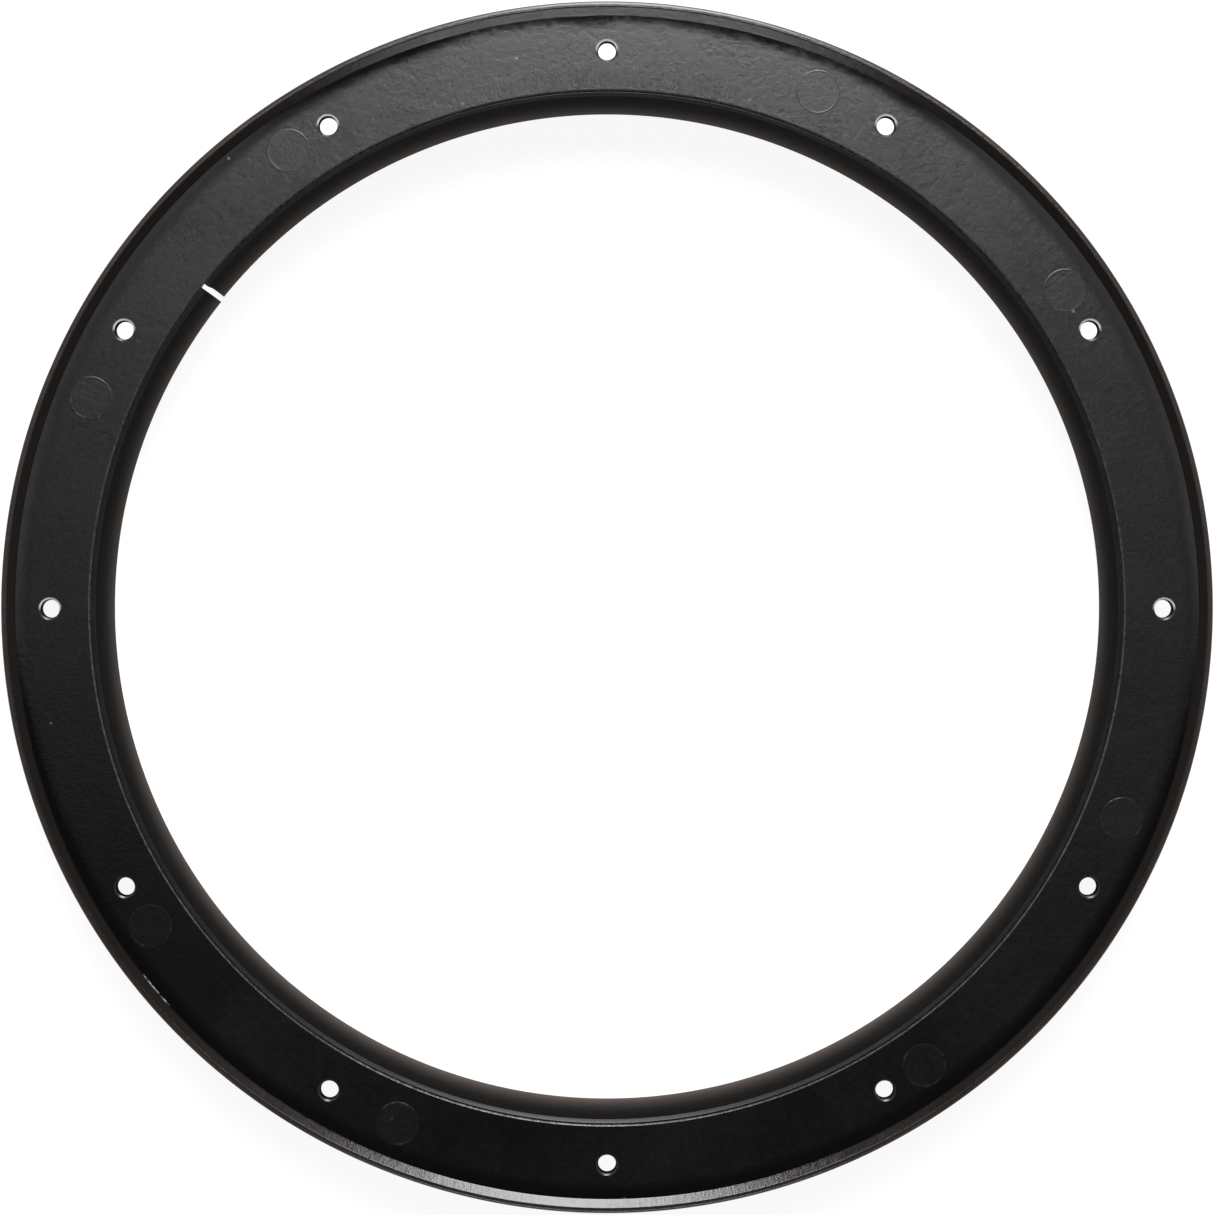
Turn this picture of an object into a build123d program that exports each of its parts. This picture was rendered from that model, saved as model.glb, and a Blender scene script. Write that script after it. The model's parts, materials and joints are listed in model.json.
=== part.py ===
"""A large plastic ring flange with a split collar that snaps into the flange's bore and can be turned in it.

Z = 0 is the flange's underside, the face that sits on the floor or panel. The raised lip points up (+Z)
and the collar hangs down (-Z) through the opening. Angles are counted from +X, counterclockwise from above.
"""

import os
from math import cos, radians, sin, tan

from build123d import *

# Flange ring, all in mm
OUTER_R = 146.7
WEB_THICKNESS = 2.5
LIP_RISE = 1.4
LIP_WIDTH = 1.45
LIP_INNER_RUN = 1.8
LIP_OUTER_ROUND = 0.8
OUTER_FOOT_CHAMFER = 0.4
BORE_R = 125.3
BORE_EDGE_CHAMFER = 0.4
BORE_LAND = 1.0

# Screw holes: a short straight land at the underside, a drafted wall above it, and a broken top edge
SCREW_COUNT = 12
SCREW_CIRCLE_R = 135.0
SCREW_HOLE_R = 2.15
SCREW_HOLE_LAND = 0.8
SCREW_HOLE_CONE_ANGLE = 10.0
SCREW_HOLE_MOUTH_R = 2.65
SCREW_HOLE_MOUTH_ANGLE = 90.0

# Round witness marks of the ejector pins, slightly proud of the web, in two sets of four
PIN_MARK_R = 5.05
PIN_MARK_HEIGHT = 0.08
PIN_MARK_COUNT = 4
PIN_MARK_STARTS = (34.8, 67.8)

# Snap groove under the bore's land, which holds the collar's shoulder
GROOVE_CLEARANCE = 0.3
SNAP_LIP_HEIGHT = 0.4
SNAP_ENGAGEMENT = 0.15
SHOULDER_PLAY = 0.1

# Split collar; a shallow run-out below the shoulder keeps its outer wall clear of the flange's underside
COLLAR_INNER_R = 124.1
NECK_R = 125.0
SPIGOT_R = 126.0
SHOULDER_R = 127.0
COLLAR_LENGTH = 27.0
MOUTH_BEVEL = 0.8
RUN_OUT_DEPTH = 0.6
RUN_OUT_END = -0.8
END_INNER_CHAMFER = 0.3
END_OUTER_CHAMFER = 0.9

# Slit through the collar, seen from inside: one straight side, and one that opens downwards
SLIT_ANGLE = 141.35
SLIT_TOP_WIDTH = 1.1
SLIT_MIDDLE_WIDTH = 1.5
SLIT_END_WIDTH = 1.4
SLIT_CUT_DEPTH = 8.0
SLIT_OVERRUN = 1.0

# Heights that follow from the above
WEB_TOP = WEB_THICKNESS
LIP_TOP = WEB_TOP + LIP_RISE
GROOVE_TOP = WEB_TOP - BORE_LAND
COLLAR_END = WEB_TOP - COLLAR_LENGTH
SAME_HEIGHT = 0.01

# Radius of a screw hole's drafted wall where it meets the web's top
SCREW_HOLE_TOP_R = SCREW_HOLE_R + (WEB_THICKNESS - SCREW_HOLE_LAND) * tan(radians(SCREW_HOLE_CONE_ANGLE / 2))


def flange_profile():
    """Corners of the flange ring's section as (radius, height), counterclockwise from the snap lip."""
    groove_r = SHOULDER_R + GROOVE_CLEARANCE
    snap_lip_r = SHOULDER_R - SNAP_ENGAGEMENT
    lip_inner_r = OUTER_R - LIP_WIDTH
    return [
        (snap_lip_r, 0),
        (OUTER_R - OUTER_FOOT_CHAMFER, 0),
        (OUTER_R, OUTER_FOOT_CHAMFER),
        (OUTER_R, LIP_TOP),
        (lip_inner_r, LIP_TOP),
        (lip_inner_r - LIP_INNER_RUN, WEB_TOP),
        (BORE_R + BORE_EDGE_CHAMFER, WEB_TOP),
        (BORE_R, WEB_TOP - BORE_EDGE_CHAMFER),
        (BORE_R, GROOVE_TOP),
        (groove_r, GROOVE_TOP),
        (groove_r, SNAP_LIP_HEIGHT),
        (snap_lip_r, SNAP_LIP_HEIGHT),
    ]


def collar_profile():
    """Corners of the collar's section as (radius, height), counterclockwise from its lower end."""
    shoulder_top = GROOVE_TOP - SHOULDER_PLAY
    shoulder_foot = SNAP_LIP_HEIGHT + SHOULDER_PLAY
    return [
        (COLLAR_INNER_R + END_INNER_CHAMFER, COLLAR_END),
        (SPIGOT_R - END_OUTER_CHAMFER, COLLAR_END),
        (SPIGOT_R, COLLAR_END + END_OUTER_CHAMFER),
        (SPIGOT_R, RUN_OUT_END),
        (SPIGOT_R - RUN_OUT_DEPTH, RUN_OUT_END),
        (SPIGOT_R - RUN_OUT_DEPTH, shoulder_foot),
        (SHOULDER_R, shoulder_foot),
        (SHOULDER_R, shoulder_top),
        (NECK_R, shoulder_top),
        (NECK_R, WEB_TOP),
        (COLLAR_INNER_R + MOUTH_BEVEL, WEB_TOP),
        (COLLAR_INNER_R, WEB_TOP - MOUTH_BEVEL),
        (COLLAR_INNER_R, COLLAR_END + END_INNER_CHAMFER),
    ]


def circles_at(part, height):
    """The round edges of a part that lie at a height."""
    round_edges = part.edges().filter_by(GeomType.CIRCLE)
    return round_edges.filter_by(lambda edge: abs(edge.center().Z - height) < SAME_HEIGHT)


def slit_plane():
    """A plane across the slit, inside the collar: X runs round the wall, Y is up and Z points outwards."""
    angle = radians(SLIT_ANGLE)
    start_r = COLLAR_INNER_R - SLIT_CUT_DEPTH / 2
    return Plane(
        origin=(start_r * cos(angle), start_r * sin(angle), 0),
        x_dir=(-sin(angle), cos(angle), 0),
        z_dir=(cos(angle), sin(angle), 0),
    )


# The flange ring: web, raised outer lip, bore with its snap groove, screw holes and pin marks
with BuildPart() as flange_ring:
    with BuildSketch(Plane.XZ):
        with BuildLine():
            Polyline(*flange_profile(), close=True)
        make_face()
    revolve(axis=Axis.Z)

    lip_outer_edge = circles_at(flange_ring, LIP_TOP).sort_by(SortBy.RADIUS)[-1]
    fillet(lip_outer_edge, LIP_OUTER_ROUND)

    with Locations(Plane.XY.offset(WEB_TOP)):
        with PolarLocations(SCREW_CIRCLE_R, SCREW_COUNT):
            CounterSinkHole(SCREW_HOLE_R, SCREW_HOLE_TOP_R, counter_sink_angle=SCREW_HOLE_CONE_ANGLE)
            CounterSinkHole(SCREW_HOLE_R, SCREW_HOLE_MOUTH_R, counter_sink_angle=SCREW_HOLE_MOUTH_ANGLE)

    with BuildSketch(Plane.XY.offset(WEB_TOP)):
        for start in PIN_MARK_STARTS:
            with PolarLocations(SCREW_CIRCLE_R, PIN_MARK_COUNT, start_angle=start):
                Circle(PIN_MARK_R)
    extrude(amount=PIN_MARK_HEIGHT)

# The split collar: bevelled mouth, neck in the bore, snap shoulder, spigot and the slit
with BuildPart() as split_collar:
    with BuildSketch(Plane.XZ):
        with BuildLine():
            Polyline(*collar_profile(), close=True)
        make_face()
    revolve(axis=Axis.Z)

    slit_left = -SLIT_TOP_WIDTH / 2
    slit_middle_height = (WEB_TOP + COLLAR_END) / 2
    with BuildSketch(slit_plane()):
        with BuildLine():
            Polyline(
                (slit_left, COLLAR_END - SLIT_OVERRUN),
                (slit_left + SLIT_END_WIDTH, COLLAR_END - SLIT_OVERRUN),
                (slit_left + SLIT_MIDDLE_WIDTH, slit_middle_height),
                (slit_left + SLIT_TOP_WIDTH, WEB_TOP + SLIT_OVERRUN),
                (slit_left, WEB_TOP + SLIT_OVERRUN),
                close=True,
            )
        make_face()
    extrude(amount=SLIT_CUT_DEPTH, mode=Mode.SUBTRACT)

os.makedirs("parts", exist_ok=True)
for name, built in (("flange_ring", flange_ring), ("split_collar", split_collar)):
    built.part.label = name
    export_step(built.part, f"parts/{name}.step")
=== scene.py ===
"""Looks of the ring flange and its split collar: fine meshes, moulded black plastic, light and camera.

All lengths are in metres, in the CAD's frame. The flange's underside is its seat, and the lip points up.
"""

import json
import math
from types import SimpleNamespace

import bmesh
import bpy
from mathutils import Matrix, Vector, noise


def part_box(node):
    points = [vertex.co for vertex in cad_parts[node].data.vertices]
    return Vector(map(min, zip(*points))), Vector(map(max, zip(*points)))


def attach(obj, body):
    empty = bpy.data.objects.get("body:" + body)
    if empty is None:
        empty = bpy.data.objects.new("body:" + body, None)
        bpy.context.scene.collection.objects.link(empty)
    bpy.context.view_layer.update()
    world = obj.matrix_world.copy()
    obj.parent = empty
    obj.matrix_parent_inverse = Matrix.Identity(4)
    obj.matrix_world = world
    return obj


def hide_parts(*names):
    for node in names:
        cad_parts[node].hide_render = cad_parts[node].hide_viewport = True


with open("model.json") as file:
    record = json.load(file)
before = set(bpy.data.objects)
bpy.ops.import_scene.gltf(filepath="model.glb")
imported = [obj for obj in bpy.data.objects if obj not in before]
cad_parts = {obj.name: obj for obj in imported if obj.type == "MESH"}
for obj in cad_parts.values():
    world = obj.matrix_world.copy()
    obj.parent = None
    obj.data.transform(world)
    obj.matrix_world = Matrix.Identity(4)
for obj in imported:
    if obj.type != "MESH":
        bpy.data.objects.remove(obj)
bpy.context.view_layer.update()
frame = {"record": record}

# ---------------------------------------------------------------- sizes
MM = 0.001
mounts = {mount["name"]: mount for mount in frame["record"]["mounts"]}

flange_low, flange_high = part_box("flange_ring")
collar_low, collar_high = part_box("split_collar")

OUTER_R = max(flange_high.x, flange_high.y, -flange_low.x, -flange_low.y)
SEAT = flange_low.z
LIP_TOP = flange_high.z
WEB_TOP = collar_high.z
COLLAR_END = collar_low.z
SHOULDER_R = max(collar_high.x, collar_high.y, -collar_low.x, -collar_low.y)

SCREW_CIRCLE_R = mounts["screw_circle"]["dims"]["pcd_mm"] * MM / 2
SCREW_COUNT = mounts["screw_circle"]["dims"]["count"]
SCREW_HOLE_R = mounts["screw_circle"]["dims"]["hole_r_mm"] * MM
SCREW_PITCH = 2 * math.pi / SCREW_COUNT
COLLAR_INNER_R = mounts["passage"]["dims"]["r_mm"] * MM
SPIGOT_R = mounts["spigot"]["dims"]["r_mm"] * MM

# Section of the flange ring
LIP_WIDTH = 1.45 * MM
LIP_INNER_RUN = 1.8 * MM
LIP_BASE_R = OUTER_R - LIP_WIDTH - LIP_INNER_RUN
BORE_R = COLLAR_INNER_R + 1.2 * MM
BORE_EDGE = 0.4 * MM
GROOVE_TOP = WEB_TOP - 1.0 * MM
GROOVE_R = SHOULDER_R + 0.3 * MM
SNAP_LIP_R = SHOULDER_R - 0.15 * MM
SNAP_LIP_TOP = SEAT + 0.4 * MM

# Roundings that both sections share
FINE_ROUND = 0.08 * MM
SOFT_ROUND = 0.15 * MM
CRISP_ROUND = 0.05 * MM

# Screw holes
HOLE_LAND = 0.8 * MM
HOLE_TOP_R = SCREW_HOLE_R + 0.15 * MM
HOLE_MOUTH_DROP = 0.3 * MM
HOLE_MOUTH_R = SCREW_HOLE_R + 0.6 * MM
HOLE_OVERRUN = 0.6 * MM

# Ejector-pin marks, in two sets of four: a low pad with a ridge of flash round it
PIN_MARK_R = 5.05 * MM
PIN_MARK_RISE = 0.025 * MM
PIN_MARK_SUNK = 0.3 * MM
PIN_RIDGE_FOOT = 0.01 * MM
PIN_RIDGE_RISE = 0.06 * MM
PIN_RIDGE_WIDTH = 0.42 * MM
PIN_MARK_STARTS = (34.8, 67.8)
PIN_MARKS_PER_SET = 4

# Section of the collar
MOUTH_BEVEL = 0.8 * MM
NECK_R = COLLAR_INNER_R + 0.9 * MM
RUN_OUT = 0.6 * MM
RUN_OUT_END = SEAT - 0.8 * MM
SHOULDER_TOP = GROOVE_TOP - 0.1 * MM
SHOULDER_FOOT = SNAP_LIP_TOP + 0.1 * MM
END_INNER_EDGE = 0.3 * MM
END_OUTER_EDGE = 0.9 * MM
COLLAR_SIDE_STEP = 1.5 * MM

# Slit in the collar, whose two ends stand a little in and out of line
SLIT_ANGLE = math.radians(141.35)
SLIT_TOP_WIDTH = 1.1 * MM
SLIT_MIDDLE_WIDTH = 1.55 * MM
SLIT_END_WIDTH = 1.4 * MM
SLIT_STEP = 0.12 * MM
SLIT_STEP_REACH = math.radians(14)

# Fineness of the meshes
RING_SEGMENTS = 720
HOLE_SEGMENTS = 64
MARK_SEGMENTS = 128
ROUND_STEPS = 5
SHARP_EDGE = math.radians(32)
FLAT_FACE = 0.99999


# ---------------------------------------------------------------- mesh helpers
def rounded(corners):
    """An outline from (radius, height, rounding) corners, with each rounding drawn as an arc."""
    outline = []
    for index, (r, z, rounding) in enumerate(corners):
        here = Vector((r, z))
        before = Vector(corners[index - 1][:2])
        after = Vector(corners[(index + 1) % len(corners)][:2])
        to_before = (before - here).normalized()
        to_after = (after - here).normalized()
        half_angle = to_before.angle(to_after) / 2
        back = rounding / math.tan(half_angle)
        centre = here + (to_before + to_after).normalized() * rounding / math.sin(half_angle)
        first = here + to_before * back - centre
        last = here + to_after * back - centre
        for step in range(ROUND_STEPS + 1):
            arm = first.slerp(last, step / ROUND_STEPS)
            outline.append(tuple(centre + arm.normalized() * rounding))
    return outline


def lathe(outline, segments):
    """Points and faces of a closed ring, turned from an outline that keeps off the axis."""
    points = []
    for segment in range(segments):
        angle = 2 * math.pi * segment / segments
        points += [(r * math.cos(angle), r * math.sin(angle), z) for r, z in outline]
    count = len(outline)
    faces = []
    for segment in range(segments):
        faces += strip_faces(segment * count, (segment + 1) % segments * count, count)
    return points, faces


def strip_faces(here, there, count):
    """Faces between two neighbouring closed sections, given by the index of their first points."""
    faces = []
    for index in range(count):
        neighbour = (index + 1) % count
        faces.append((here + index, there + index, there + neighbour, here + neighbour))
    return faces


def solid_of_revolution(outline, segments, shape=None):
    """Points and faces of a body whose outline starts and ends on the axis. shape may move each point."""
    points = []
    for segment in range(segments):
        angle = 2 * math.pi * segment / segments
        for r, z in outline[1:-1]:
            if shape:
                r, z = shape(r, z, angle)
            points.append((r * math.cos(angle), r * math.sin(angle), z))
    count = len(outline) - 2
    first = len(points)
    last = first + 1
    points += [(0, 0, outline[0][1]), (0, 0, outline[-1][1])]
    faces = []
    for segment in range(segments):
        here = segment * count
        there = (segment + 1) % segments * count
        faces.append((first, there, here))
        faces.append((last, here + count - 1, there + count - 1))
        for index in range(count - 1):
            faces.append((here + index, there + index, there + index + 1, here + index + 1))
    return points, faces


def make_object(name, points, faces):
    """An object in the scene, with its faces turned outwards."""
    mesh = bpy.data.meshes.new(name)
    mesh.from_pydata(points, [], faces)
    work = bmesh.new()
    work.from_mesh(mesh)
    bmesh.ops.recalc_face_normals(work, faces=work.faces)
    work.to_mesh(mesh)
    work.free()
    made = bpy.data.objects.new(name, mesh)
    bpy.context.scene.collection.objects.link(made)
    return made


def placed_copies(name, places, make_part):
    """One object that holds make_part(index) moved to each (x, y) place."""
    points = []
    faces = []
    for index, (x, y) in enumerate(places):
        part_points, part_faces = make_part(index)
        offset = len(points)
        points += [(px + x, py + y, pz) for px, py, pz in part_points]
        faces += [tuple(corner + offset for corner in face) for face in part_faces]
    return make_object(name, points, faces)


def on_circle(radius, count, start=0.0):
    """(x, y) places on a circle, from a start angle in degrees."""
    angles = [math.radians(start) + 2 * math.pi * index / count for index in range(count)]
    return [(radius * math.cos(angle), radius * math.sin(angle)) for angle in angles]


def combine(piece, tool, operation):
    """Adds the tool to the piece or cuts it away, and removes the tool."""
    modifier = piece.modifiers.new(operation, "BOOLEAN")
    modifier.object = tool
    modifier.operation = operation
    modifier.solver = "EXACT"
    depsgraph = bpy.context.evaluated_depsgraph_get()
    result = bpy.data.meshes.new_from_object(piece.evaluated_get(depsgraph))
    piece.modifiers.clear()
    piece.data = result
    bpy.data.objects.remove(tool)


def smooth_by_angle(piece):
    """Smooth shading that keeps sharp edges, and keeps level faces flat."""
    piece.data.shade_smooth()
    piece.data.set_sharp_from_angle(angle=SHARP_EDGE)
    for polygon in piece.data.polygons:
        if abs(polygon.normal.z) > FLAT_FACE:
            polygon.use_smooth = False


# ---------------------------------------------------------------- flange ring
def flange_outline():
    """The flange ring's section, from its snap lip outwards and back over the web."""
    snap_edge = 0.12 * MM
    foot_round = 0.4 * MM
    lip_outer_round = 0.8 * MM
    lip_inner_round = 0.5 * MM
    return rounded([
        (SNAP_LIP_R, SEAT, snap_edge),
        (OUTER_R, SEAT, foot_round),
        (OUTER_R, LIP_TOP, lip_outer_round),
        (OUTER_R - LIP_WIDTH, LIP_TOP, lip_inner_round),
        (LIP_BASE_R, WEB_TOP, SOFT_ROUND),
        (BORE_R + BORE_EDGE, WEB_TOP, SOFT_ROUND),
        (BORE_R, WEB_TOP - BORE_EDGE, SOFT_ROUND),
        (BORE_R, GROOVE_TOP, FINE_ROUND),
        (GROOVE_R, GROOVE_TOP, FINE_ROUND),
        (GROOVE_R, SNAP_LIP_TOP, FINE_ROUND),
        (SNAP_LIP_R, SNAP_LIP_TOP, FINE_ROUND),
    ])


def screw_hole_cutter(_):
    """What is cut away for a screw hole: a land, a drafted wall and a broken edge at the web's top."""
    flare = (HOLE_MOUTH_R - HOLE_TOP_R) / HOLE_MOUTH_DROP
    outline = [
        (0, SEAT - HOLE_OVERRUN),
        (SCREW_HOLE_R, SEAT - HOLE_OVERRUN),
        (SCREW_HOLE_R, SEAT + HOLE_LAND),
        (HOLE_TOP_R, WEB_TOP - HOLE_MOUTH_DROP),
        (HOLE_MOUTH_R + HOLE_OVERRUN * flare, WEB_TOP + HOLE_OVERRUN),
        (0, WEB_TOP + HOLE_OVERRUN),
    ]
    return solid_of_revolution(outline, HOLE_SEGMENTS)


def ridge_strength(angle, index):
    """How much of a mark's ridge stands at an angle, from 0 to 1. It comes and goes round the mark."""
    slow, slow_step, slow_share = 1.3, 3.7, 1.3
    quick, quick_step, quick_share = 9.0, 5.1, 0.9
    usual = 0.55
    slow_place = Vector((math.cos(angle) * slow, math.sin(angle) * slow, index * slow_step))
    quick_place = Vector((math.cos(angle) * quick, math.sin(angle) * quick, index * quick_step))
    strength = usual + slow_share * noise.noise(slow_place) + quick_share * noise.noise(quick_place)
    return min(max(strength, 0.0), 1.0)


def pin_mark(index):
    """A low round pad with an uneven ridge of flash round it."""
    top = WEB_TOP + PIN_MARK_RISE
    half = PIN_RIDGE_WIDTH / 2
    outer_shoulder = 0.7
    inner_shoulder = 0.75
    outline = [
        (0, WEB_TOP - PIN_MARK_SUNK),
        (PIN_MARK_R + half, WEB_TOP - PIN_MARK_SUNK),
        (PIN_MARK_R + half, WEB_TOP + PIN_RIDGE_FOOT),
        (PIN_MARK_R + half / 2, WEB_TOP + PIN_RIDGE_RISE * outer_shoulder),
        (PIN_MARK_R, WEB_TOP + PIN_RIDGE_RISE),
        (PIN_MARK_R - half / 2, WEB_TOP + PIN_RIDGE_RISE * inner_shoulder),
        (PIN_MARK_R - half, top),
        (0, top),
    ]

    def uneven(r, z, angle):
        if z > top:
            z = top + (z - top) * ridge_strength(angle, index)
        return r, z

    return solid_of_revolution(outline, MARK_SEGMENTS, uneven)


def make_flange():
    points, faces = lathe(flange_outline(), RING_SEGMENTS)
    ring = make_object("flange_moulding", points, faces)
    holes = placed_copies("screw_holes", on_circle(SCREW_CIRCLE_R, SCREW_COUNT), screw_hole_cutter)
    combine(ring, holes, "DIFFERENCE")
    mark_places = []
    for start in PIN_MARK_STARTS:
        mark_places += on_circle(SCREW_CIRCLE_R, PIN_MARKS_PER_SET, start)
    marks = placed_copies("pin_marks", mark_places, pin_mark)
    combine(ring, marks, "UNION")
    smooth_by_angle(ring)
    return ring


# ---------------------------------------------------------------- split collar
def collar_outline():
    """The collar's section, from its lower end outwards and back over its mouth."""
    mouth_foot_round = 0.2 * MM
    return rounded([
        (COLLAR_INNER_R, COLLAR_END, END_INNER_EDGE),
        (SPIGOT_R, COLLAR_END, END_OUTER_EDGE),
        (SPIGOT_R, RUN_OUT_END, FINE_ROUND),
        (SPIGOT_R - RUN_OUT, RUN_OUT_END, FINE_ROUND),
        (SPIGOT_R - RUN_OUT, SHOULDER_FOOT, FINE_ROUND),
        (SHOULDER_R, SHOULDER_FOOT, SOFT_ROUND),
        (SHOULDER_R, SHOULDER_TOP, SOFT_ROUND),
        (NECK_R, SHOULDER_TOP, FINE_ROUND),
        (NECK_R, WEB_TOP, CRISP_ROUND),
        (COLLAR_INNER_R + MOUTH_BEVEL, WEB_TOP, CRISP_ROUND),
        (COLLAR_INNER_R, WEB_TOP - MOUTH_BEVEL, mouth_foot_round),
    ])


def with_long_sides_divided(outline, longest):
    """The outline with points added on its long sides, so that the slit's curved edge can follow them."""
    divided = []
    for index, (r, z) in enumerate(outline):
        divided.append((r, z))
        next_r, next_z = outline[(index + 1) % len(outline)]
        parts = int(math.hypot(next_r - r, next_z - z) / longest)
        for part in range(1, parts):
            share = part / parts
            divided.append((r + (next_r - r) * share, z + (next_z - z) * share))
    return divided


def slit_opening(z):
    """Width of the slit at a height: it opens quickly under the mouth and closes a little at the end."""
    depth = (WEB_TOP - z) / (WEB_TOP - COLLAR_END)
    depth = min(max(depth, 0.0), 1.0)
    if depth < 0.5:
        return SLIT_TOP_WIDTH + (SLIT_MIDDLE_WIDTH - SLIT_TOP_WIDTH) * math.sin(math.pi * depth)
    return SLIT_MIDDLE_WIDTH + (SLIT_END_WIDTH - SLIT_MIDDLE_WIDTH) * (depth - 0.5) * 2


def collar_point(r, z, share):
    """A point of the collar's section at a share of the way round, from one side of the slit to the other."""
    start = SLIT_ANGLE + SLIT_TOP_WIDTH / 2 / r
    end = SLIT_ANGLE + 2 * math.pi + (SLIT_TOP_WIDTH / 2 - slit_opening(z)) / r
    turned = (end - start) * share
    left = math.exp(-(turned / SLIT_STEP_REACH) ** 2)
    right = math.exp(-((end - start - turned) / SLIT_STEP_REACH) ** 2)
    radius = r + SLIT_STEP * (right - left)
    return radius * math.cos(start + turned), radius * math.sin(start + turned), z


def make_collar():
    outline = with_long_sides_divided(collar_outline(), COLLAR_SIDE_STEP)
    count = len(outline)
    points = []
    for segment in range(RING_SEGMENTS + 1):
        points += [collar_point(r, z, segment / RING_SEGMENTS) for r, z in outline]
    faces = []
    for segment in range(RING_SEGMENTS):
        faces += strip_faces(segment * count, (segment + 1) * count, count)
    faces.append(tuple(range(count)))
    faces.append(tuple(RING_SEGMENTS * count + index for index in range(count)))
    ring = make_object("collar_moulding", points, faces)
    smooth_by_angle(ring)
    return ring


# ---------------------------------------------------------------- material helpers
class Nodes:
    """Short calls for building a material's node tree."""

    def __init__(self, name):
        self.material = bpy.data.materials.new(name)
        self.material.use_nodes = True
        self.tree = self.material.node_tree
        self.tree.nodes.clear()
        output = self.tree.nodes.new("ShaderNodeOutputMaterial")
        self.shader = self.tree.nodes.new("ShaderNodeBsdfPrincipled")
        self.tree.links.new(self.shader.outputs[0], output.inputs["Surface"])
        coordinates = self.tree.nodes.new("ShaderNodeTexCoord")
        self.position = coordinates.outputs["Object"]

    def put(self, value, socket):
        """Links an output to the socket, or sets a plain value on it."""
        if hasattr(value, "is_output"):
            self.tree.links.new(value, socket)
        else:
            socket.default_value = value

    def math(self, operation, a, b=0.0, c=0.0, clamp=False):
        node = self.tree.nodes.new("ShaderNodeMath")
        node.operation = operation
        node.use_clamp = clamp
        for value, socket in zip((a, b, c), node.inputs):
            self.put(value, socket)
        return node.outputs[0]

    def scaled(self, value, factor, offset=0.0):
        return self.math("MULTIPLY_ADD", value, factor, offset)

    def times(self, *values):
        product = values[0]
        for value in values[1:]:
            product = self.math("MULTIPLY", product, value)
        return product

    def total(self, base, *weighted):
        """base plus each (value, weight) pair's product."""
        result = base
        for value, weight in weighted:
            result = self.scaled(value, weight, result)
        return result

    def length(self, a, b):
        return self.math("SQRT", self.total(0.0, (a, a), (b, b)))

    def parts(self, vector):
        node = self.tree.nodes.new("ShaderNodeSeparateXYZ")
        self.put(vector, node.inputs[0])
        return node.outputs

    def vector(self, x, y, z):
        node = self.tree.nodes.new("ShaderNodeCombineXYZ")
        for value, socket in zip((x, y, z), node.inputs):
            self.put(value, socket)
        return node.outputs[0]

    def noise(self, vector, scale, detail, roughness=0.55, distortion=0.0):
        node = self.tree.nodes.new("ShaderNodeTexNoise")
        self.put(vector, node.inputs["Vector"])
        node.inputs["Scale"].default_value = scale
        node.inputs["Detail"].default_value = detail
        node.inputs["Roughness"].default_value = roughness
        node.inputs["Distortion"].default_value = distortion
        return node.outputs["Fac"]

    def specks(self, scale, size, share):
        """Sparse round specks."""
        node = self.tree.nodes.new("ShaderNodeTexVoronoi")
        self.put(self.position, node.inputs["Vector"])
        node.inputs["Scale"].default_value = scale
        chance = self.parts(node.outputs["Color"])[0]
        rare = self.math("GREATER_THAN", chance, 1 - share)
        return self.times(rare, self.ramp(node.outputs["Distance"], size * 0.6, size, 1.0, 0.0))

    def ramp(self, value, low, high, to_low=0.0, to_high=1.0):
        """value from low..high to to_low..to_high, smooth and clamped."""
        node = self.tree.nodes.new("ShaderNodeMapRange")
        node.interpolation_type = "SMOOTHSTEP"
        for entry, socket in zip((value, low, high, to_low, to_high), node.inputs):
            self.put(entry, socket)
        return node.outputs[0]

    def band(self, value, low, high, soft):
        """1 between low and high, and 0 outside."""
        rising = self.ramp(value, low - soft, low + soft)
        falling = self.ramp(value, high - soft, high + soft, 1.0, 0.0)
        return self.times(rising, falling)

    def mix_colour(self, share, first, second):
        node = self.tree.nodes.new("ShaderNodeMix")
        node.data_type = "RGBA"
        self.put(share, node.inputs["Factor"])
        self.put(first, node.inputs[6])
        self.put(second, node.inputs[7])
        return node.outputs[2]

    def bump(self, height, distance, strength=1.0):
        node = self.tree.nodes.new("ShaderNodeBump")
        node.inputs["Strength"].default_value = strength
        node.inputs["Distance"].default_value = distance
        self.put(height, node.inputs["Height"])
        return node.outputs[0]

    def polar(self):
        """Radius, x and y of its direction from the axis, and height of the point."""
        x, y, z = self.parts(self.position)[:3]
        radius = self.length(x, y)
        return radius, self.math("DIVIDE", x, radius), self.math("DIVIDE", y, radius), z

    def sector(self, to_x, to_y, centre, half, soft):
        """1 within half degrees of a heading, and 0 outside."""
        heading = math.radians(centre)
        along = self.total(0.0, (to_x, math.cos(heading)), (to_y, math.sin(heading)))
        outer = math.cos(math.radians(half + soft))
        inner = math.cos(math.radians(max(half - soft, 0)))
        return self.ramp(along, outer, inner)

    def near_hole(self, radius, to_x, to_y):
        """Place relative to the nearest screw hole, along the circle and outwards, and the hole's own Y."""
        angle = self.math("ARCTAN2", to_y, to_x)
        turns = self.math("FRACT", self.scaled(angle, 1 / SCREW_PITCH, 0.5 + SCREW_COUNT))
        local = self.scaled(turns, SCREW_PITCH, -SCREW_PITCH / 2)
        along = self.times(radius, self.math("SINE", local))
        outward = self.math("SUBTRACT", self.times(radius, self.math("COSINE", local)), SCREW_CIRCLE_R)
        hole_y = self.scaled(self.math("SINE", self.math("SUBTRACT", angle, local)), SCREW_CIRCLE_R)
        return along, outward, hole_y


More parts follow.
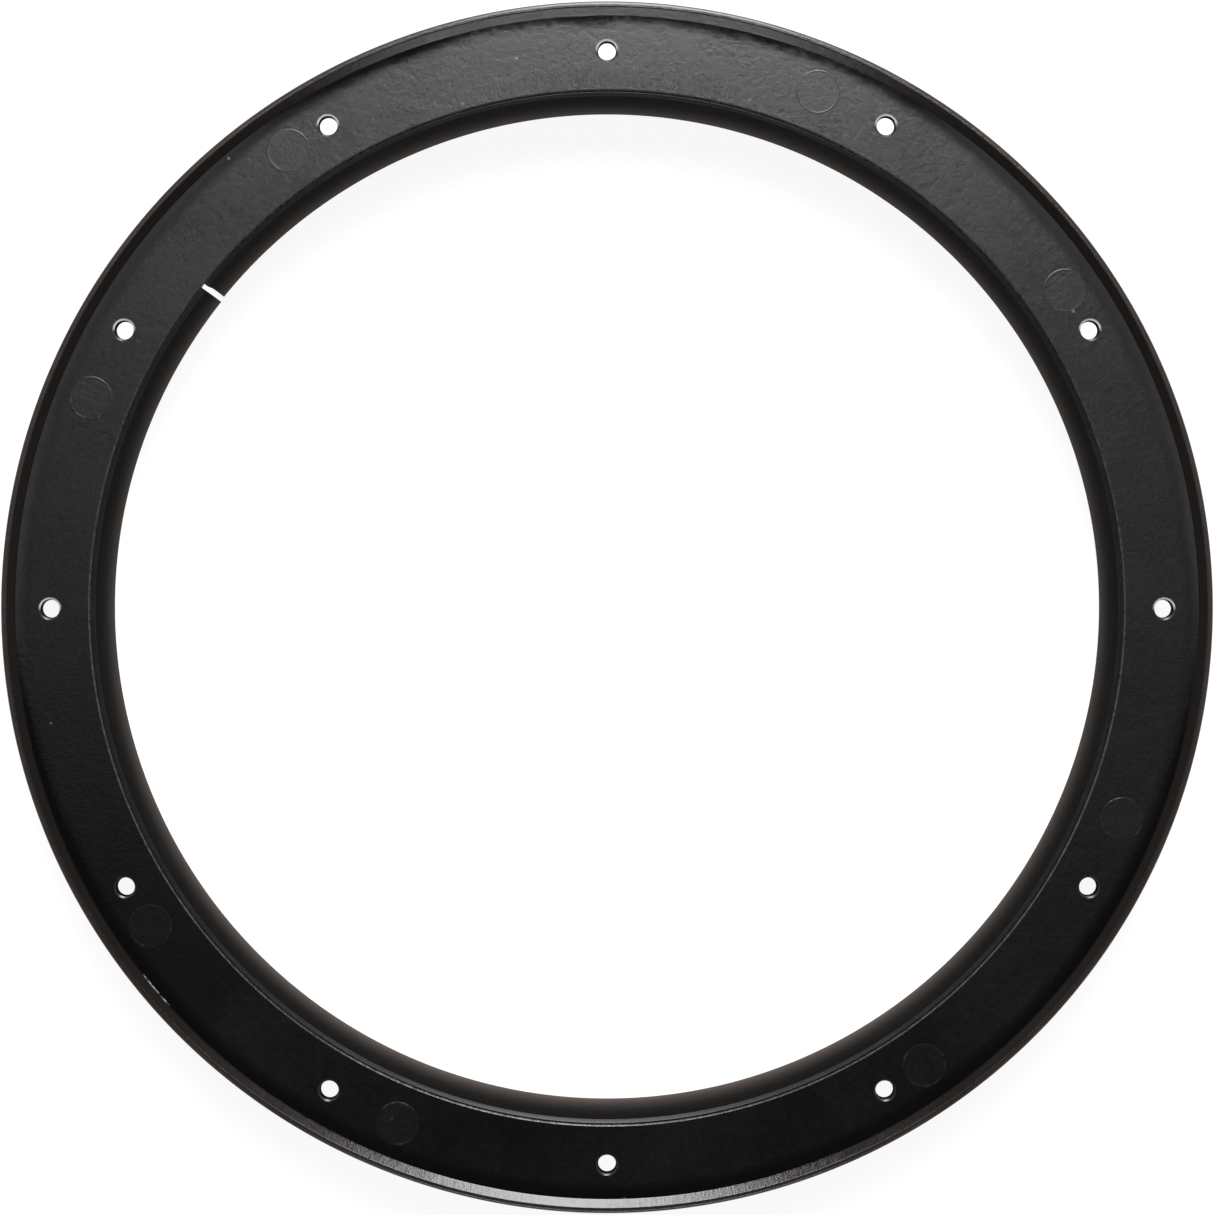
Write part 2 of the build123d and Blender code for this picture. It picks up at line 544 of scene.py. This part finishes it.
# ---------------------------------------------------------------- flange's plastic
def flange_noises(n, radius, to_x, to_y):
    """The patterns that the flange's surface is made from, coarse to fine, and scuffs round the ring."""
    across, along = 420, 70
    around = n.vector(n.scaled(to_x, across), n.scaled(to_y, across), n.scaled(radius, along))
    return SimpleNamespace(
        smudge=n.noise(n.position, scale=15, detail=4.0, distortion=0.8),
        mottle=n.noise(n.position, scale=60, detail=5.0, roughness=0.65, distortion=0.6),
        coarse=n.noise(n.position, scale=700, detail=4.0, roughness=0.65),
        grain=n.noise(n.position, scale=2600, detail=2.0),
        scuffs=n.noise(around, scale=1.0, detail=3.0, roughness=0.7),
    )


def mark_masks(n, radius, z):
    """The web, the run towards the lip, the lip, and the pads and ridges of the pin marks."""
    lip_shade_run = 4.6 * MM
    pad_limit_r = SCREW_CIRCLE_R + PIN_MARK_R + 0.15 * MM
    pad_rise = n.ramp(z, WEB_TOP + 0.01 * MM, WEB_TOP + 0.02 * MM)
    pad = n.times(pad_rise, n.ramp(radius, pad_limit_r, pad_limit_r + 0.4 * MM, 1.0, 0.0))
    return SimpleNamespace(
        on_web=n.ramp(radius, LIP_BASE_R - 0.2 * MM, LIP_BASE_R + 0.3 * MM, 1.0, 0.0),
        by_lip=n.ramp(radius, LIP_BASE_R - lip_shade_run, LIP_BASE_R),
        on_lip=n.ramp(radius, LIP_BASE_R, LIP_BASE_R + 0.2 * MM),
        pad=pad,
        ridge=n.times(pad, n.ramp(z, WEB_TOP + 0.030 * MM, WEB_TOP + 0.05 * MM)),
    )


def hole_masks(n, radius, to_x, to_y, z):
    """The broken edge of the screw holes, a painted highlight on its upper side, and flow marks that start at
    the holes.
    """
    along, outward, hole_y = n.near_hole(radius, to_x, to_y)
    from_hole = n.length(along, outward)
    above_hole = n.math("SUBTRACT", n.times(radius, to_y), hole_y)
    upward = n.math("DIVIDE", above_hole, from_hole)
    mouth_height = n.ramp(z, WEB_TOP - 0.34 * MM, WEB_TOP - 0.26 * MM)
    mouth = n.times(n.band(from_hole, HOLE_TOP_R - 0.03 * MM, HOLE_MOUTH_R, 0.04 * MM), mouth_height)
    # Painted highlight: near white on the upper side of each hole's broken edge, in the half of the ring
    # towards +Y, fading below.
    painted_mouth_highlight = n.times(mouth, n.ramp(upward, -0.25, 0.5), n.ramp(hole_y, -40 * MM, 0.0))

    flow_cosine, flow_sine = 0.64, 0.77
    flow_axis = n.total(0.0, (along, flow_cosine), (outward, -flow_sine))
    flow_reach = n.total(0.0, (along, flow_sine), (outward, flow_cosine))
    flow = n.times(
        n.band(flow_axis, -0.35 * MM, 0.35 * MM, 0.3 * MM),
        n.band(flow_reach, 2.6 * MM, 7.0 * MM, 1.2 * MM),
        n.sector(to_x, to_y, centre=75, half=19, soft=3),
    )
    return SimpleNamespace(mouth=mouth, painted_mouth_highlight=painted_mouth_highlight, flow=flow)


def wear_masks(n, noises, radius, to_x, to_y, z):
    """The handled stretch beside the bore, a glossier patch, the bore edge with wear and a painted highlight
    line round it, and a nick by the lip.
    """
    handled = n.times(
        n.sector(to_x, to_y, centre=91, half=16, soft=6),
        n.band(radius, BORE_R + 0.2 * MM, BORE_R + 5.2 * MM, 2.4 * MM),
        n.ramp(noises.scuffs, 0.42, 0.66),
    )
    blotches = n.ramp(n.math("ADD", noises.mottle, noises.coarse), 0.86, 1.06)
    glossy_patch = n.times(n.sector(to_x, to_y, centre=207, half=19, soft=1.5), blotches)

    round_the_bore = n.vector(n.scaled(to_x, 95), n.scaled(to_y, 95), 0.0)
    edge_noise = n.noise(round_the_bore, scale=1.0, detail=5.0, roughness=0.7)
    edge_height = n.ramp(z, WEB_TOP - 0.5 * MM, WEB_TOP - 0.3 * MM)
    edge = n.times(n.band(radius, BORE_R - 0.1 * MM, BORE_R + 0.42 * MM, 0.06 * MM), edge_height)
    rubbed = n.times(n.sector(to_x, to_y, centre=-103, half=15, soft=5), n.ramp(edge_noise, 0.42, 0.60))
    # Painted highlight: a pale line all round the bore edge, with real wear added in the rubbed sector.
    usual = n.scaled(n.ramp(edge_noise, 0.3, 0.7), 0.42, 0.22)
    worn_and_highlit_edge = n.math("MULTIPLY", edge, n.math("ADD", usual, rubbed), clamp=True)

    nick = n.times(
        n.sector(to_x, to_y, centre=-139.8, half=1.7, soft=0.4),
        n.band(radius, LIP_BASE_R - 0.25 * MM, LIP_BASE_R + 0.05 * MM, 0.08 * MM),
        n.ramp(noises.coarse, 0.35, 0.6),
    )
    return SimpleNamespace(handled=handled, glossy_patch=glossy_patch, worn_and_highlit_edge=worn_and_highlit_edge, nick=nick)


def flange_roughness(n, noises, marks, holes, wear):
    """Semi-gloss, uneven, and glossier towards the lip."""
    glossiest = 0.07
    rough = n.total(
        0.05,
        (noises.smudge, 0.16),
        (noises.mottle, 0.14),
        (noises.coarse, 0.16),
        (marks.by_lip, -0.19),
        (marks.on_lip, 0.11),
        (marks.pad, 0.045),
        (wear.handled, 0.02),
        (wear.glossy_patch, -0.05),
        (holes.flow, 0.04),
        (holes.mouth, 0.04),
    )
    return n.math("MAXIMUM", rough, glossiest)


def flange_colour(n, noises, marks, holes, wear, crown):
    """Black, warmer on the lip, paler where it has wear, specks or a nick, with a painted reflection on the
    outer crown and painted highlights on the bore edge, the hole mouths and the pin marks' ridges.
    """
    dark = (0.0014, 0.0015, 0.0018, 1)
    warm = (0.0105, 0.0082, 0.0074, 1)
    painted_rim_reflection = (0.062, 0.050, 0.045, 1)
    # Pale grey for real wear and for painted highlights.
    wear_and_highlight = (0.12, 0.12, 0.125, 1)
    dust_and_bounce_light = (0.11, 0.10, 0.095, 1)
    painted_mouth_highlight = (0.60, 0.60, 0.58, 1)
    nicked = (0.3, 0.3, 0.3, 1)
    colour = n.mix_colour(marks.on_web, warm, dark)
    # Painted reflection: the outer crown of the lip is painted a pale warm grey.
    colour = n.mix_colour(n.times(crown, n.scaled(noises.mottle, 0.9, 0.1)), colour, painted_rim_reflection)
    # The bore edge: real wear and a painted highlight line.
    colour = n.mix_colour(wear.worn_and_highlit_edge, colour, wear_and_highlight)
    # Painted highlight: the holes' broken edges are painted a little paler all round.
    colour = n.mix_colour(n.scaled(holes.mouth, 0.15), colour, wear_and_highlight)
    # Painted highlight: near white on the upper side of the hole mouths.
    colour = n.mix_colour(holes.painted_mouth_highlight, colour, painted_mouth_highlight)
    # Painted highlight: the pin marks' ridges are painted paler in places.
    colour = n.mix_colour(n.times(marks.ridge, n.ramp(noises.coarse, 0.40, 0.62), 0.16), colour, wear_and_highlight)
    colour = n.mix_colour(n.scaled(wear.handled, 0.16), colour, wear_and_highlight)
    colour = n.mix_colour(n.scaled(holes.flow, 0.09), colour, wear_and_highlight)
    specks = n.specks(scale=230, size=0.11, share=0.05)
    colour = n.mix_colour(n.times(specks, marks.on_web), colour, dust_and_bounce_light)
    return n.mix_colour(wear.nick, colour, nicked)


def flange_relief(n, noises, marks, holes, wear):
    """Height of the fine relief about its own mean, fading towards the lip and on the holes' edges."""
    mean_height = 4.6
    height = n.total(
        -mean_height,
        (noises.grain, 1.3),
        (noises.coarse, 2.6),
        (noises.scuffs, 1.3),
        (n.times(wear.handled, noises.scuffs), 1.0),
        (noises.mottle, 4.0),
    )
    lip_fade = n.scaled(n.times(marks.by_lip, marks.on_web), -0.85, 1.0)
    mouth_fade = n.scaled(holes.mouth, -0.8, 1.0)
    return n.times(height, lip_fade, mouth_fade)


def flange_plastic():
    """Semi-gloss black: fine grain, scuffs, flow marks, smudges, rubbed edges and a few pale specks, with
    painted highlights on edges and a painted reflection on the outer crown.
    """
    n = Nodes("flange_plastic")
    radius, to_x, to_y, z = n.polar()
    noises = flange_noises(n, radius, to_x, to_y)
    marks = mark_masks(n, radius, z)
    holes = hole_masks(n, radius, to_x, to_y, z)
    wear = wear_masks(n, noises, radius, to_x, to_y, z)
    # The outer crown of the lip, which carries the painted reflection.
    crown = n.ramp(radius, OUTER_R - 1.5 * MM, OUTER_R - 0.3 * MM)
    relief = flange_relief(n, noises, marks, holes, wear)
    n.put(flange_colour(n, noises, marks, holes, wear, crown), n.shader.inputs["Base Color"])
    n.put(flange_roughness(n, noises, marks, holes, wear), n.shader.inputs["Roughness"])
    n.put(n.bump(relief, distance=0.016 * MM), n.shader.inputs["Normal"])
    return n.material


# ---------------------------------------------------------------- other materials
def collar_plastic():
    """Semi-gloss black of the collar's mouth, shoulder and outside."""
    n = Nodes("collar_plastic")
    _, to_x, to_y, z = n.polar()
    dark = (0.0030, 0.0029, 0.0029, 1)
    scuffed = (0.014, 0.013, 0.012, 1)
    mottle = n.noise(n.position, scale=60, detail=5.0, roughness=0.6, distortion=0.4)
    grain = n.noise(n.position, scale=1800, detail=3.0)
    around = n.vector(n.scaled(to_x, 120), n.scaled(to_y, 120), n.scaled(z, 1500))
    streaks = n.noise(around, scale=1.0, detail=4.0, roughness=0.7)
    n.put(n.mix_colour(n.ramp(streaks, 0.45, 0.8), dark, scuffed), n.shader.inputs["Base Color"])
    n.put(n.total(0.26, (mottle, 0.16), (streaks, 0.10)), n.shader.inputs["Roughness"])
    relief = n.total(0.0, (grain, 0.6), (streaks, 1.2))
    n.put(n.bump(relief, distance=0.01 * MM, strength=0.7), n.shader.inputs["Normal"])
    return n.material


def matte_wall():
    """Dull black of the drafted walls: fine rings round them, and painted bounce light from the floor that
    pales them downwards.
    """
    n = Nodes("matte_wall")
    _, to_x, to_y, z = n.polar()
    dark = (0.0026, 0.0023, 0.0022, 1)
    # Painted bounce light from the floor: the pale warm grey the walls fade to near their lower end.
    dust_and_bounce_light = (0.088, 0.075, 0.068, 1)
    around = n.vector(n.scaled(to_x, 26), n.scaled(to_y, 26), n.scaled(z, 1400))
    rings = n.noise(around, scale=1.0, detail=4.0, roughness=0.7)
    mottle = n.noise(n.position, scale=60, detail=5.0, roughness=0.6, distortion=0.4)
    grain = n.noise(n.position, scale=2200, detail=2.0)
    depth = n.math("DIVIDE", n.math("SUBTRACT", WEB_TOP, z), WEB_TOP - COLLAR_END, clamp=True)
    uneven = n.total(0.45, (mottle, 0.5), (rings, 0.6))
    # Painted bounce light: paler the deeper down the wall, unevenly.
    painted_bounce_light = n.math("MULTIPLY", n.math("POWER", depth, 3.0), uneven, clamp=True)
    n.put(n.mix_colour(painted_bounce_light, dark, dust_and_bounce_light), n.shader.inputs["Base Color"])
    n.put(n.scaled(mottle, 0.2, 0.70), n.shader.inputs["Roughness"])
    n.shader.inputs["Specular IOR Level"].default_value = 0.012
    relief = n.total(0.0, (rings, 1.5), (grain, 0.6))
    n.put(n.bump(relief, distance=0.012 * MM, strength=0.8), n.shader.inputs["Normal"])
    return n.material


def floor_paint():
    """Pale matt board with a faint fibre."""
    n = Nodes("floor_paint")
    fibre = n.noise(n.position, scale=240, detail=4.0)
    pale = (0.20, 0.20, 0.20, 1)
    paler = (0.22, 0.22, 0.22, 1)
    n.put(n.mix_colour(fibre, pale, paler), n.shader.inputs["Base Color"])
    n.shader.inputs["Roughness"].default_value = 0.9
    n.shader.inputs["Specular IOR Level"].default_value = 0.1
    n.shader.inputs["Emission Color"].default_value = (1, 1, 1, 1)
    n.shader.inputs["Emission Strength"].default_value = 0.9
    return n.material


# ---------------------------------------------------------------- pieces
def is_hole_wall(centre, normal):
    """Is this face part of a screw hole's wall?"""
    steepest_level = 0.3
    angle = round(math.atan2(centre.y, centre.x) / SCREW_PITCH) * SCREW_PITCH
    hole = Vector((math.cos(angle), math.sin(angle))) * SCREW_CIRCLE_R
    return abs(normal.z) < steepest_level and (centre.xy - hole).length < HOLE_TOP_R + 0.05 * MM


def is_inner_wall(centre, normal):
    """Is this face part of the collar's inner wall, below the mouth's bevel?"""
    near_wall = centre.xy.length < COLLAR_INNER_R + 0.4 * MM
    below_mouth = centre.z < WEB_TOP - MOUTH_BEVEL
    faces_axis = normal.xy.dot(centre.xy) < 0
    return near_wall and below_mouth and faces_axis


def finish_faces(piece, main_material, wall_material, is_wall):
    """Gives the piece its main material, and the wall's where is_wall says."""
    piece.data.materials.clear()
    piece.data.materials.append(main_material)
    piece.data.materials.append(wall_material)
    for polygon in piece.data.polygons:
        polygon.material_index = 1 if is_wall(polygon.center, polygon.normal) else 0


drafted_wall = matte_wall()

flange = make_flange()
finish_faces(flange, flange_plastic(), drafted_wall, is_hole_wall)
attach(flange, "flange")
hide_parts("flange_ring")

collar = make_collar()
finish_faces(collar, collar_plastic(), drafted_wall, is_inner_wall)
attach(collar, "collar")
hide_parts("split_collar")


# ---------------------------------------------------------------- floor, light and camera
def make_floor():
    """A wide board, level with the collar's lower end."""
    half = 9.0
    corners = [
        (-half, -half, COLLAR_END),
        (half, -half, COLLAR_END),
        (half, half, COLLAR_END),
        (-half, half, COLLAR_END),
    ]
    floor = make_object("floor", corners, [(0, 1, 2, 3)])
    floor.data.materials.append(floor_paint())


def soft_light(name, from_vertical, heading, distance, long_side, short_side, watts):
    """A softbox aimed at the ring. Its two angles are in degrees, and heading 90 is towards +Y."""
    light = bpy.data.lights.new(name, "AREA")
    light.shape = "RECTANGLE"
    light.size = short_side
    light.size_y = long_side
    light.energy = watts
    lamp = bpy.data.objects.new(name, light)
    tilt = math.radians(from_vertical)
    turn = math.radians(heading)
    away = Vector((math.sin(tilt) * math.cos(turn), math.sin(tilt) * math.sin(turn), math.cos(tilt)))
    lamp.location = away * distance
    lamp.rotation_mode = "QUATERNION"
    lamp.rotation_quaternion = away.to_track_quat("Z", "Y")
    bpy.context.scene.collection.objects.link(lamp)


def make_lights():
    """One large softbox towards +Y, a low fill opposite it, a small card on each side, and a dim room."""
    soft_light("key_softbox", 46.3, 86.5, distance=1.58, long_side=1.60, short_side=0.64, watts=48)
    soft_light("low_fill", 53, -90, distance=1.2, long_side=0.22, short_side=0.72, watts=2.4)
    soft_light("right_card", 13.3, 24, distance=1.5, long_side=0.30, short_side=0.45, watts=0.34)
    soft_light("left_card", 13.3, 156, distance=1.5, long_side=0.30, short_side=0.45, watts=0.34)
    world = bpy.data.worlds.new("studio")
    world.use_nodes = True
    world.node_tree.nodes["Background"].inputs["Color"].default_value = (0.05, 0.05, 0.05, 1)
    bpy.context.scene.world = world


def make_camera():
    """A camera almost straight above the ring, that fills its frame with it."""
    distance = 0.650
    frame_width = 0.2944
    offset = 0.008
    aim = 0.00032
    data = bpy.data.cameras.new("camera")
    data.sensor_width = 36.0
    data.lens = data.sensor_width * distance / frame_width
    data.clip_start = 0.01
    data.clip_end = 20.0
    camera = bpy.data.objects.new("camera", data)
    camera.location = (0, offset, WEB_TOP + distance)
    camera.rotation_euler = (-math.atan2(offset - aim, distance), 0, 0)
    bpy.context.scene.collection.objects.link(camera)
    bpy.context.scene.camera = camera


make_floor()
make_lights()
make_camera()
bpy.context.scene.view_settings.view_transform = "Standard"
